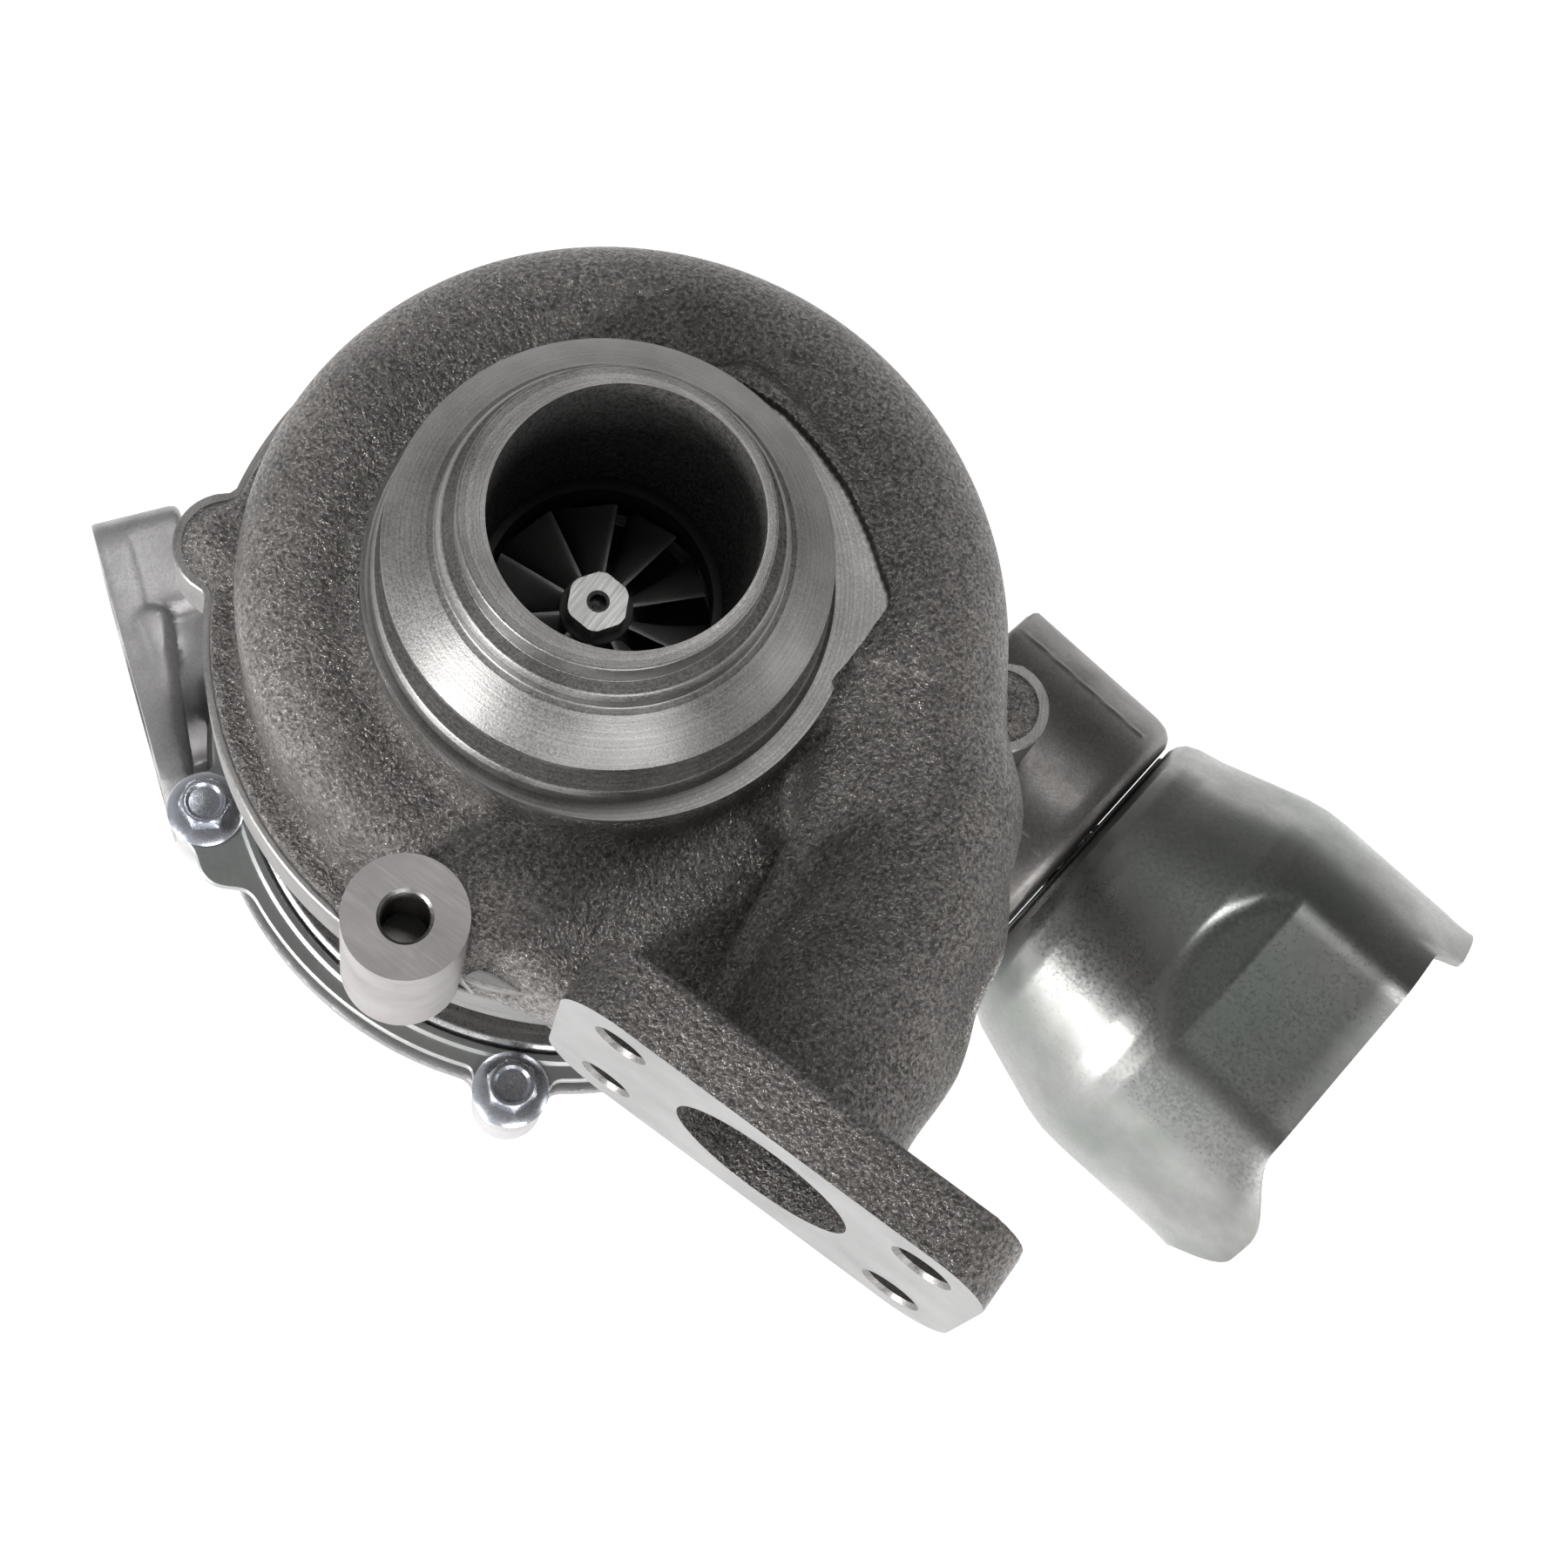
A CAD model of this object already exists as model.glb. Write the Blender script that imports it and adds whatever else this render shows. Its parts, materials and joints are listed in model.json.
"""The looks of a variable-nozzle turbocharger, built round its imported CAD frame.

Lengths in the shape code are millimetres from the shaft's axis, and depths run down from the
turbine outlet's rim, as in the CAD. They are turned into the row frame when a piece is made.
"""

import json
from math import atan2, cos, degrees, pi, radians, sin, sqrt

import bmesh
import bpy
import numpy as np
import openvdb
from mathutils import Matrix, Vector


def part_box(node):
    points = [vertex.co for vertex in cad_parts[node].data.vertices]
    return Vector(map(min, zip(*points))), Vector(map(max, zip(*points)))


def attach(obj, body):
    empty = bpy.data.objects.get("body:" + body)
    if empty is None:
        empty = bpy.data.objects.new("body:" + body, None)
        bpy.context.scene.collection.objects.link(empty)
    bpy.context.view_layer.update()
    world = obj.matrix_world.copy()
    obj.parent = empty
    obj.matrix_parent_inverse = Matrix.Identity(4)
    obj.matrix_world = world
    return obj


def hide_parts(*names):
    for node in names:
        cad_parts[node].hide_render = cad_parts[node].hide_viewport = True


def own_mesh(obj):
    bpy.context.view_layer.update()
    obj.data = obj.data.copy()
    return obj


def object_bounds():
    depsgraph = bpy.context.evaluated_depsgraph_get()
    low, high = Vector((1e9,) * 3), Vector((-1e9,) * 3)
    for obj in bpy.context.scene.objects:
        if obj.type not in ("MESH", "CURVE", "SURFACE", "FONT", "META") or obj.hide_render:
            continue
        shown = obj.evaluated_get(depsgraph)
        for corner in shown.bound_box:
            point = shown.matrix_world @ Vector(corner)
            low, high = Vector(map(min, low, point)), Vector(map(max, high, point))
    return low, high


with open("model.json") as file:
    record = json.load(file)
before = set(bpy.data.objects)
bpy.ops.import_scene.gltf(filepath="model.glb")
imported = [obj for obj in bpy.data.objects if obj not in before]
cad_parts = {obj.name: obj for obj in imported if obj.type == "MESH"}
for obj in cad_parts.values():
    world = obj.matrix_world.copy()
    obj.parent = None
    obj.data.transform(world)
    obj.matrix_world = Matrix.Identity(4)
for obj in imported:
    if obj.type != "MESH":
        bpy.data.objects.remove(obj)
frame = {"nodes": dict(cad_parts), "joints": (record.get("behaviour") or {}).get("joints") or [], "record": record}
cad_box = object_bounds()

MM = 0.001
JOINTS = {joint["name"]: joint for joint in frame["joints"]}
SHAFT = Vector((*JOINTS["rotor_spin"]["pos_m"][:2], 0.0))
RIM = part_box("turbine_housing")[1].z / MM
HOUSING, ROTOR = "housing", "rotor"
GAP = 0.3   # the clearance the CAD leaves between pieces that touch


# ---------------- places, from the frame

def height(depth):
    return RIM - depth


def depth_of(z):
    """The depth of a height, both in millimetres."""
    return RIM - z


def on_circle(radius, angle, depth=0.0):
    turn = radians(angle)
    return Vector((radius * cos(turn), radius * sin(turn), height(depth)))


def cad(node):
    """A node's lowest and highest corner, in millimetres from the shaft's axis."""
    low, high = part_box(node)
    return (low - SHAFT) / MM, (high - SHAFT) / MM


def centre_of(node):
    """The middle of a node's box, in millimetres from the shaft's axis."""
    low, high = cad(node)
    return (low + high) / 2


def mount(name):
    """A mount's point, in millimetres from the shaft's axis, and its outward direction."""
    found = next(m for m in frame["record"]["mounts"] if m["name"] == name)
    return (Vector(found["pos_m"]) - SHAFT) / MM, Vector(found["axis"])


# ---------------- materials

class Nodes:
    """A material's node tree, with short ways to add and join nodes."""

    def __init__(self, name, roughness, metallic, colour=(0.5, 0.5, 0.5)):
        self.material = bpy.data.materials.new(name)
        self.material.use_nodes = True
        self.tree = self.material.node_tree
        self.shader = self.tree.nodes["Principled BSDF"]
        self.shader.inputs["Metallic"].default_value = metallic
        self.shader.inputs["Roughness"].default_value = roughness
        self.shader.inputs["Base Color"].default_value = (*colour, 1.0)
        self.place = self.tree.nodes.new("ShaderNodeTexCoord").outputs["Object"]

    def add(self, kind, **settings):
        node = self.tree.nodes.new("ShaderNode" + kind)
        for key, value in settings.items():
            if key in node.inputs.keys():
                node.inputs[key].default_value = value
            else:
                setattr(node, key, value)
        return node

    def link(self, start, end):
        self.tree.links.new(start, end)

    def noise(self, scale, detail=3.0, roughness=0.55, place=None):
        """A noise with that many features to the millimetre."""
        node = self.add("TexNoise", Scale=scale / MM, Detail=detail, Roughness=roughness)
        self.link(place or self.place, node.inputs["Vector"])
        return node.outputs["Fac"]

    def stretched(self, x, y, z):
        """The object's coordinates, drawn out along an axis wherever its factor is small."""
        node = self.add("Mapping")
        node.inputs["Scale"].default_value = (x, y, z)
        self.link(self.place, node.inputs["Vector"])
        return node.outputs["Vector"]

    def ramp(self, value, stops):
        node = self.add("ValToRGB")
        ramp = node.color_ramp
        while len(ramp.elements) < len(stops):
            ramp.elements.new(0.5)
        for element, (at, colour) in zip(ramp.elements, stops):
            element.position = at
            element.color = (*colour, 1.0)
        self.link(value, node.inputs["Fac"])
        return node.outputs["Color"]

    def grey_ramp(self, value, stops):
        return self.ramp(value, [(at, (v, v, v)) for at, v in stops])

    def math(self, operation, first, second):
        node = self.add("Math", operation=operation)
        for socket, value in zip(node.inputs, (first, second)):
            if isinstance(value, (int, float)):
                socket.default_value = value
            else:
                self.link(value, socket)
        return node.outputs["Value"]

    def mix(self, factor, first, second):
        node = self.add("Mix", data_type="RGBA")
        for socket, value in zip((node.inputs[0], node.inputs[6], node.inputs[7]),
                                 (factor, first, second)):
            if isinstance(value, (int, float)):
                socket.default_value = value
            elif isinstance(value, tuple):
                socket.default_value = (*value, 1.0)
            else:
                self.link(value, socket)
        return node.outputs[2]

    def weighted(self, *parts):
        """The sum of (value, share) parts."""
        total = None
        for value, share in parts:
            part = self.math("MULTIPLY", value, share)
            total = part if total is None else self.math("ADD", total, part)
        return total

    def bump(self, value, tall):
        """Bumps that tall, in millimetres, on top of any bumps so far."""
        node = self.add("Bump", Distance=tall * MM)
        self.link(value, node.inputs["Height"])
        before = self.shader.inputs["Normal"].links
        if before:
            self.link(before[0].from_socket, node.inputs["Normal"])
        self.link(node.outputs["Normal"], self.shader.inputs["Normal"])

    def darken(self, first, second):
        """Two colours multiplied."""
        node = self.add("Mix", data_type="RGBA", blend_type="MULTIPLY")
        node.inputs[0].default_value = 1.0
        self.link(first, node.inputs[6])
        self.link(second, node.inputs[7])
        return node.outputs[2]

    def colour(self, value):
        self.link(value, self.shader.inputs["Base Color"])

    def roughness(self, value):
        self.link(value, self.shader.inputs["Roughness"])

    def radius(self):
        """The distance from the shaft's axis: pieces have their origin on it."""
        split = self.add("SeparateXYZ")
        self.link(self.place, split.inputs[0])
        join = self.add("CombineXYZ")
        self.link(split.outputs["X"], join.inputs["X"])
        self.link(split.outputs["Y"], join.inputs["Y"])
        length = self.add("VectorMath", operation="LENGTH")
        self.link(join.outputs[0], length.inputs[0])
        return length.outputs["Value"], split.outputs["Z"]

    def turning_marks(self, scale):
        """Noise that only changes with the radius and along the axis, as a lathe leaves it."""
        radius, along = self.radius()
        join = self.add("CombineXYZ")
        self.link(radius, join.inputs["X"])
        self.link(along, join.inputs["Z"])
        return self.noise(scale, 2.0, 0.7, join.outputs[0])


def sand_cast(name, dark, light, roughness, grain=0.5, shine=0.85):
    """Shot-blasted sand-cast iron: a fine grain that glints on its crests."""
    n = Nodes(name, roughness, shine)
    coarse = n.noise(0.9, 3.0, 0.6)
    grains = n.noise(1.6, 3.0, 0.62)
    fine = n.noise(4.0, 2.0, 0.6)
    patches = n.noise(0.05, 3.0, 0.6)
    tone = n.weighted((grains, 0.7), (coarse, 0.3))
    base = n.ramp(tone, ((0.40, dark), (0.60, light)))
    n.colour(n.darken(base, n.grey_ramp(patches, ((0.3, 0.8), (0.7, 1.15)))))
    n.roughness(n.grey_ramp(grains, ((0.38, roughness + 0.12), (0.64, roughness - 0.12))))
    n.bump(coarse, grain)
    n.bump(grains, grain * 1.5)
    n.bump(fine, grain * 0.4)
    return n.material


def machined(name, dark, light, roughness, marks=0.02):
    """Turned metal: fine rings about the shaft, in the colour, the gloss and the relief."""
    n = Nodes(name, roughness, 1.0)
    rings = n.turning_marks(2.6)
    patches = n.noise(0.09, 3.0, 0.6)
    spots = n.noise(2.4, 3.0, 0.6)
    tone = n.weighted((rings, 0.3), (patches, 0.3), (spots, 0.4))
    n.colour(n.ramp(tone, ((0.38, dark), (0.60, light))))
    n.roughness(n.grey_ramp(spots, ((0.3, roughness - 0.06), (0.7, roughness + 0.1))))
    n.bump(rings, marks)
    n.bump(spots, marks * 1.2)
    return n.material


def ground(name, dark, light, roughness, along=(1.0, 0.04, 1.0)):
    """A milled or ground face, with fine straight marks."""
    n = Nodes(name, roughness, 0.95)
    marks = n.noise(2.4, 2.0, 0.6, n.stretched(*along))
    patches = n.noise(0.07, 3.0, 0.6)
    tone = n.weighted((marks, 0.4), (patches, 0.6))
    n.colour(n.ramp(tone, ((0.36, dark), (0.62, light))))
    n.roughness(n.grey_ramp(marks, ((0.3, roughness - 0.05), (0.7, roughness + 0.08))))
    n.bump(marks, 0.012)
    return n.material


def die_cast(name, dark, light, roughness, grain=0.05, shine=0.9, soot=None):
    """Cast aluminium: a fine dull skin with soft stains, sooty near the hot shaft if asked."""
    n = Nodes(name, roughness, shine)
    skin = n.noise(1.9, 3.0, 0.6)
    stains = n.noise(0.06, 4.0, 0.62)
    tone = n.weighted((skin, 0.35), (stains, 0.65))
    base = n.ramp(tone, ((0.36, dark), (0.64, light)))
    if soot:
        start, end = soot
        reach = n.math("DIVIDE", n.math("SUBTRACT", n.radius()[0], start * MM), (end - start) * MM)
        base = n.darken(base, n.grey_ramp(reach, ((0.0, 0.28), (1.0, 1.0))))
    n.colour(base)
    n.roughness(n.grey_ramp(stains, ((0.3, roughness + 0.08), (0.7, roughness - 0.06))))
    n.bump(skin, grain)
    return n.material


def plated(name, dark, light, roughness, tint):
    """Zinc-plated sheet: cloudy, a little green in patches, with faint drawing lines."""
    n = Nodes(name, roughness, 1.0)
    clouds = n.noise(0.045, 4.0, 0.6)
    lines = n.noise(1.1, 2.0, 0.6, n.stretched(0.03, 1.0, 1.0))
    dust = n.noise(1.5, 2.0, 0.6)
    base = n.ramp(clouds, ((0.32, dark), (0.66, light)))
    patches = n.grey_ramp(n.noise(0.03, 2.0, 0.5), ((0.5, 0.0), (0.72, 0.55)))
    n.colour(n.mix(patches, base, tint))
    tone = n.weighted((dust, 0.5), (clouds, 0.5))
    n.roughness(n.grey_ramp(tone, ((0.35, roughness + 0.08), (0.65, roughness - 0.07))))
    n.bump(lines, 0.006)
    n.bump(dust, 0.006)
    return n.material


def make_materials():
    return {
        "cast": sand_cast("cast_iron_skin", (0.096, 0.089, 0.083), (0.305, 0.286, 0.273), 0.32),
        "cast_inside": sand_cast("cast_iron_inside", (0.04, 0.039, 0.038), (0.15, 0.146, 0.142), 0.55,
                                 0.2, 0.5),
        "turned": machined("turned_iron", (0.14, 0.136, 0.132), (0.30, 0.293, 0.286), 0.42, 0.03),
        "boss": ground("milled_boss", (0.27, 0.255, 0.252), (0.40, 0.382, 0.377), 0.5, (0.06, 1.0, 1.0)),
        "thread": machined("tapped_thread", (0.16, 0.155, 0.15), (0.3, 0.29, 0.28), 0.4),
        "nose": ground("milled_nose", (0.5, 0.5, 0.49), (0.66, 0.66, 0.65), 0.5),
        "face": ground("milled_iron", (0.28, 0.277, 0.276), (0.39, 0.386, 0.384), 0.45),
        "aluminium": die_cast("cast_aluminium", (0.44, 0.43, 0.43), (0.64, 0.63, 0.63), 0.5,
                              soot=(61.0, 67.0)),
        "tube": die_cast("dark_cast_aluminium", (0.13, 0.122, 0.117), (0.25, 0.24, 0.232), 0.4, 0.03),
        "can": plated("pressed_zinc", (0.20, 0.203, 0.195), (0.36, 0.363, 0.35), 0.3, (0.21, 0.25, 0.22)),
        "ring": plated("ring_zinc", (0.36, 0.37, 0.36), (0.50, 0.51, 0.50), 0.46, (0.36, 0.40, 0.37)),
        "bolt": plated("bright_zinc_bolt", (0.52, 0.54, 0.59), (0.70, 0.72, 0.78), 0.26, (0.50, 0.54, 0.62)),
        "wheel": die_cast("cast_nickel_wheel", (0.15, 0.147, 0.145), (0.23, 0.226, 0.223), 0.5, 0.02, 0.5),
        "hot": die_cast("heat_stained_steel", (0.035, 0.034, 0.033), (0.07, 0.068, 0.066), 0.55, 0.02, 0.5),
        "steel": machined("turned_steel", (0.36, 0.36, 0.37), (0.52, 0.52, 0.53), 0.32, 0.01),
        "bronze": machined("bronze", (0.42, 0.29, 0.13), (0.60, 0.44, 0.22), 0.34, 0.01),
        "copper": machined("copper", (0.52, 0.24, 0.15), (0.68, 0.36, 0.25), 0.34, 0.01),
        "plate": machined("turned_aluminium", (0.50, 0.50, 0.50), (0.68, 0.68, 0.68), 0.3),
        "milled": machined("milled_aluminium", (0.60, 0.60, 0.61), (0.76, 0.76, 0.77), 0.26, 0.01),
        "rubber": die_cast("moulded_rubber", (0.012, 0.012, 0.012), (0.03, 0.03, 0.03), 0.6, 0.02, 0.0),
    }


# ---------------- turning shapes into pieces

def add_object(name, data):
    thing = bpy.data.objects.new(name, data)
    bpy.context.collection.objects.link(thing)
    return thing


def to_mesh(name, bm, material=None):
    """A bmesh in millimetres as a mesh in metres."""
    mesh = bpy.data.meshes.new(name)
    bmesh.ops.scale(bm, vec=(MM, MM, MM), verts=bm.verts[:])
    bm.to_mesh(mesh)
    bm.free()
    if material:
        mesh.materials.append(material)
    return mesh


def placed(name, mesh, node, body=HOUSING, sharp=32.0):
    """Put a mesh about the shaft's axis, in place of a CAD node, and let it ride."""
    thing = add_object(name, mesh)
    thing.location = SHAFT
    mesh.shade_smooth()
    mesh.set_sharp_from_angle(angle=radians(sharp))
    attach(thing, body)
    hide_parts(node)
    return thing


def piece(name, bm, material, node, sharp=32.0):
    return placed(name, to_mesh(name, bm, material), node, HOUSING, sharp)


def rounded(profile, radius, steps=3):
    """A closed profile with its corners rounded. A third number on a point sets its own radius."""
    points = [(p[0], p[1], p[2] if len(p) > 2 else radius) for p in profile]
    out = []
    for i, (x, y, r) in enumerate(points):
        here = Vector((x, y))
        before = Vector(points[i - 1][:2]) - here
        after = Vector(points[(i + 1) % len(points)][:2]) - here
        short = r < 0.02 or x < 0.01 or before.length < 1e-6 or after.length < 1e-6
        if short or before.angle(after) > radians(172):
            out.append((x, y))
            continue
        half = before.angle(after) / 2
        reach = min(r / max(sin(half) / cos(half), 1e-3), before.length * 0.45, after.length * 0.45)
        start, end = here + before.normalized() * reach, here + after.normalized() * reach
        for k in range(steps + 1):
            t = k / steps
            out.append(tuple(start * (1 - t) ** 2 + here * 2 * t * (1 - t) + end * t * t))
    return out


def ring_mesh(profile, steps, axis_point=None, axis=None):
    """A closed profile of (radius, along) spun about an axis; by default the shaft, in depths."""
    bm = bmesh.new()
    rings = []
    for r, along in profile:
        z = height(along) if axis is None else along
        turns = [2 * pi * k / steps for k in range(steps if r >= 0.01 else 1)]
        r = r if r >= 0.01 else 0.0
        rings.append([bm.verts.new((r * cos(a), r * sin(a), z)) for a in turns])
    for i in range(len(rings)):
        first, second = rings[i - 1], rings[i]
        if len(first) == 1 and len(second) == 1:
            continue
        for k in range(steps):
            corners = []
            for ring, order in ((first, (k, k + 1)), (second, (k + 1, k))):
                if len(ring) == 1:
                    corners.append(ring[0])
                else:
                    corners += [ring[c % steps] for c in order]
            bm.faces.new(corners)
    bmesh.ops.recalc_face_normals(bm, faces=bm.faces[:])
    if axis is not None:
        aim = Vector(axis).to_track_quat("Z", "Y").to_matrix().to_4x4()
        bmesh.ops.transform(bm, matrix=Matrix.Translation(axis_point) @ aim, verts=bm.verts[:])
    return bm


def turned(name, profile, material, node, steps=144):
    return piece(name, ring_mesh(rounded(profile, 0.35), steps), material, node)


def loft(bm, rings, loop=False):
    """Skin rings of points one after another, and cap both ends or join the last to the first."""
    made = [[bm.verts.new(p) for p in ring] for ring in rings]
    for first, second in zip(made, made[1:] + made[:1] if loop else made[1:]):
        for i in range(len(first)):
            n = (i + 1) % len(first)
            bm.faces.new((first[i], first[n], second[n], second[i]))
    if not loop:
        bm.faces.new(made[0])
        bm.faces.new(made[-1])
    bmesh.ops.recalc_face_normals(bm, faces=bm.faces[:])


def arc_points(x, y, radius, start, end, steps):
    return [(x + radius * cos(radians(start + (end - start) * i / steps)),
             y + radius * sin(radians(start + (end - start) * i / steps))) for i in range(steps + 1)]


def prism(outline, top, bottom, edge=0.0):
    """A flat outline between two depths, with its edges broken by a small chamfer."""
    bm = bmesh.new()
    levels = [(top, 0.0), (bottom, 0.0)]
    if edge:
        levels = [(top, -edge), (top + edge, 0.0), (bottom - edge, 0.0), (bottom, -edge)]
    loft(bm, [[(x, y, height(depth)) for x, y in offset(outline, grow)] for depth, grow in levels])
    return bm


def offset(outline, grow):
    """Move each point of an anticlockwise outline out by grow."""
    if not grow:
        return outline
    out = []
    for i, (x, y) in enumerate(outline):
        before = Vector(outline[i - 1])
        after = Vector(outline[(i + 1) % len(outline)])
        along = (after - before).normalized()
        out.append((x + along.y * grow, y - along.x * grow))
    return out


def rod(start, end, radius, steps=48, end_radius=None):
    """A closed cylinder or cone between two points, as a bmesh."""
    start, end = Vector(start), Vector(end)
    aim = (end - start).to_track_quat("Z", "Y")
    turns = [2 * pi * i / steps for i in range(steps)]
    bm = bmesh.new()
    loft(bm, [[at + aim @ Vector((r * cos(a), r * sin(a), 0)) for a in turns]
              for at, r in ((start, radius), (end, radius if end_radius is None else end_radius))])
    return bm


def upright_rod(at, top, bottom, radius, steps=32):
    """A cylinder along the shaft's direction between two depths."""
    return rod((at.x, at.y, height(top)), (at.x, at.y, height(bottom)), radius, steps)


def cube(size, matrix):
    bm = bmesh.new()
    bmesh.ops.create_cube(bm, size=1.0)
    bmesh.ops.scale(bm, vec=size, verts=bm.verts[:])
    bmesh.ops.transform(bm, matrix=matrix, verts=bm.verts[:])
    return bm


def hexagon(levels, half_width, spin=0.0, count=72):
    """A hexagon about the shaft, cut to a round limit at each (limit, depth) level."""
    bm = bmesh.new()
    turns = [360.0 * k / count for k in range(count)]
    loft(bm, [[on_circle(hexed(limit, half_width, turn + spin), turn, depth) for turn in turns]
              for limit, depth in levels])
    return bm


def hexed(limit, half_width, turn):
    """A hexagon's reach at that angle, but no further than the limit."""
    return min(limit, half_width / cos(radians(turn % 60 - 30)))


# ---------------- cast shapes, as distance fields

class Block:
    """A grid of points over a box, in millimetres; its methods give distances from shapes."""

    def __init__(self, low, high, step):
        self.low, self.step = low, step
        counts = [int((b - a) / step) + 1 for a, b in zip(low, high)]
        axes = [np.float32(a) + np.arange(n, dtype=np.float32) * np.float32(step)
                for a, n in zip(low, counts)]
        self.x = axes[0][:, None, None]
        self.y = axes[1][None, :, None]
        self.d = np.float32(RIM) - axes[2][None, None, :]
        self.rho = np.hypot(self.x, self.y)
        self.turn = np.degrees(np.arctan2(self.y, self.x)) % 360

    @classmethod
    def around(cls, node, step, draft_step):
        """A grid a millimetre larger than a node's box."""
        low, high = cad(node)
        return cls([v - 1 for v in low], [v + 1 for v in high], step)

    def upright(self, x, y, radius, top, bottom, edge=0.0):
        """A cylinder between two depths, with rounded edges."""
        across = np.hypot(self.x - x, self.y - y) - radius + edge
        along = np.abs(self.d - (top + bottom) / 2) - (bottom - top) / 2 + edge
        return corner(across, along) - edge

    def box(self, low, high, edge=0.0):
        """A box from low to high corner, as (x, y, depth), with rounded edges."""
        out, most = 0.0, None
        for value, a, b in zip((self.x, self.y, self.d), low, high):
            reach = np.abs(value - (a + b) / 2) - (b - a) / 2 + edge
            out = out + np.maximum(reach, 0) ** 2
            most = reach if most is None else np.maximum(most, reach)
        return np.sqrt(out) + np.minimum(most, 0) - edge

    def tube(self, start, end, start_r, end_r):
        """A round cone with ball ends between two (x, y, depth) points."""
        a, b = np.array(start, np.float32), np.array(end, np.float32)
        line = b - a
        px, py, pz = self.x - a[0], self.y - a[1], self.d - a[2]
        t = np.clip((px * line[0] + py * line[1] + pz * line[2]) / (line @ line), 0, 1)
        gap = np.sqrt((px - t * line[0]) ** 2 + (py - t * line[1]) ** 2 + (pz - t * line[2]) ** 2)
        return gap - (start_r + (end_r - start_r) * t)

    def turned(self, profile, point=None, axis=None):
        """A closed (radius, depth) profile spun about the shaft, or (radius, along) about a line."""
        if axis is None:
            radius, along = np.broadcast_arrays(self.rho, self.d)
        else:
            px, py, pd = self.x - point[0], self.y - point[1], self.d - point[2]
            along = px * axis[0] + py * axis[1] + pd * axis[2]
            radius = np.sqrt(np.maximum(px * px + py * py + pd * pd - along ** 2, 0))
        cell = self.step / 2
        low = float(along.min())
        radii = np.arange(0.0, float(radius.max()) + 2 * cell, cell)
        places = np.arange(low, float(along.max()) + 2 * cell, cell)
        table = polygon_distance(radii[:, None], places[None, :], profile).astype(np.float32)
        i, j = radius / cell, (along - low) / cell
        i0, j0 = i.astype(np.int32), j.astype(np.int32)
        fi, fj = i - i0, j - j0
        return ((table[i0, j0] * (1 - fi) + table[i0 + 1, j0] * fi) * (1 - fj)
                + (table[i0, j0 + 1] * (1 - fi) + table[i0 + 1, j0 + 1] * fi) * fj)

    def plate(self, direction, middle, half, bend, back, front, edge=0.0):
        """A plate across a level direction. Its outline is a rounded rectangle, given by its
        middle and half sizes sideways and in depth; back and front are along the direction."""
        u = self.x * direction.x + self.y * direction.y
        v = self.x * direction.y - self.y * direction.x
        across = corner(np.abs(v - middle[0]) - half[0] + bend,
                        np.abs(self.d - middle[1]) - half[1] + bend) - bend + edge
        along = np.abs(u - (front + back) / 2) - (front - back) / 2 + edge
        return corner(across, along) - edge

    def path(self, stations):
        """A tube through (x, y, depth, radius) stations."""
        out = None
        for first, second in zip(stations, stations[1:]):
            part = self.tube(first[:3], second[:3], first[3], second[3])
            out = part if out is None else join(out, part, 4.0)
        return out

    def mesh(self, name, field):
        """The field's zero surface as a mesh in metres about the shaft's axis."""
        limit = 3.0 * self.step
        grid = openvdb.FloatGrid(limit)
        grid.copyFromArray(np.clip(np.broadcast_to(field, self.rho.shape[:2] + (self.d.shape[2],)),
                                   -limit, limit).astype(np.float32), tolerance=0.0)
        points, triangles, quads = grid.convertToPolygons(isovalue=0.0, adaptivity=0.0)
        points = (points * self.step + np.array(self.low)) * MM
        mesh = bpy.data.meshes.new(name)
        mesh.from_pydata(points.tolist(), [], quads[:, ::-1].tolist() + triangles[:, ::-1].tolist())
        mesh.update()
        if signed_volume(mesh) < 0:
            mesh.flip_normals()
        return mesh


def polygon_distance(x, y, points):
    """The signed distance from a closed polygon: less than zero inside."""
    best, inside = None, False
    for (x0, y0), (x1, y1) in zip(points, points[1:] + points[:1]):
        ex, ey, wx, wy = x1 - x0, y1 - y0, x - x0, y - y0
        t = np.clip((wx * ex + wy * ey) / max(ex * ex + ey * ey, 1e-9), 0, 1)
        gap = (wx - ex * t) ** 2 + (wy - ey * t) ** 2
        best = gap if best is None else np.minimum(best, gap)
        over = (y0 <= y) != (y1 <= y)
        side = (wx * ey - wy * ex) * (1 if y1 > y0 else -1) < 0
        inside = inside ^ (over & side)
    return np.sqrt(best) * np.where(inside, -1, 1)


def signed_volume(mesh):
    """More than zero where the faces point outwards, which the booleans need."""
    mesh.calc_loop_triangles()
    corners = np.empty(len(mesh.loop_triangles) * 3, np.int32)
    mesh.loop_triangles.foreach_get("vertices", corners)
    places = np.empty(len(mesh.vertices) * 3, np.float32)
    mesh.vertices.foreach_get("co", places)
    a, b, c = places.reshape(-1, 3)[corners.reshape(-1, 3)].transpose(1, 0, 2)
    return float(np.einsum("ij,ij->i", a, np.cross(b, c)).sum())


def corner(across, along):
    """The distance from the edge where two outlines cross at a right angle."""
    return (np.minimum(np.maximum(across, along), 0)
            + np.hypot(np.maximum(across, 0), np.maximum(along, 0)))


def join(first, second, blend):
    """Two shapes as one, with a fillet about as wide as blend between them."""
    mix = np.clip(0.5 + 0.5 * (second - first) / blend, 0, 1)
    return second * (1 - mix) + first * mix - blend * mix * (1 - mix)


def take(first, second, blend=0.6):
    """The first shape without the second, with a slightly rounded edge."""
    return -join(-first, second, blend)


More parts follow.
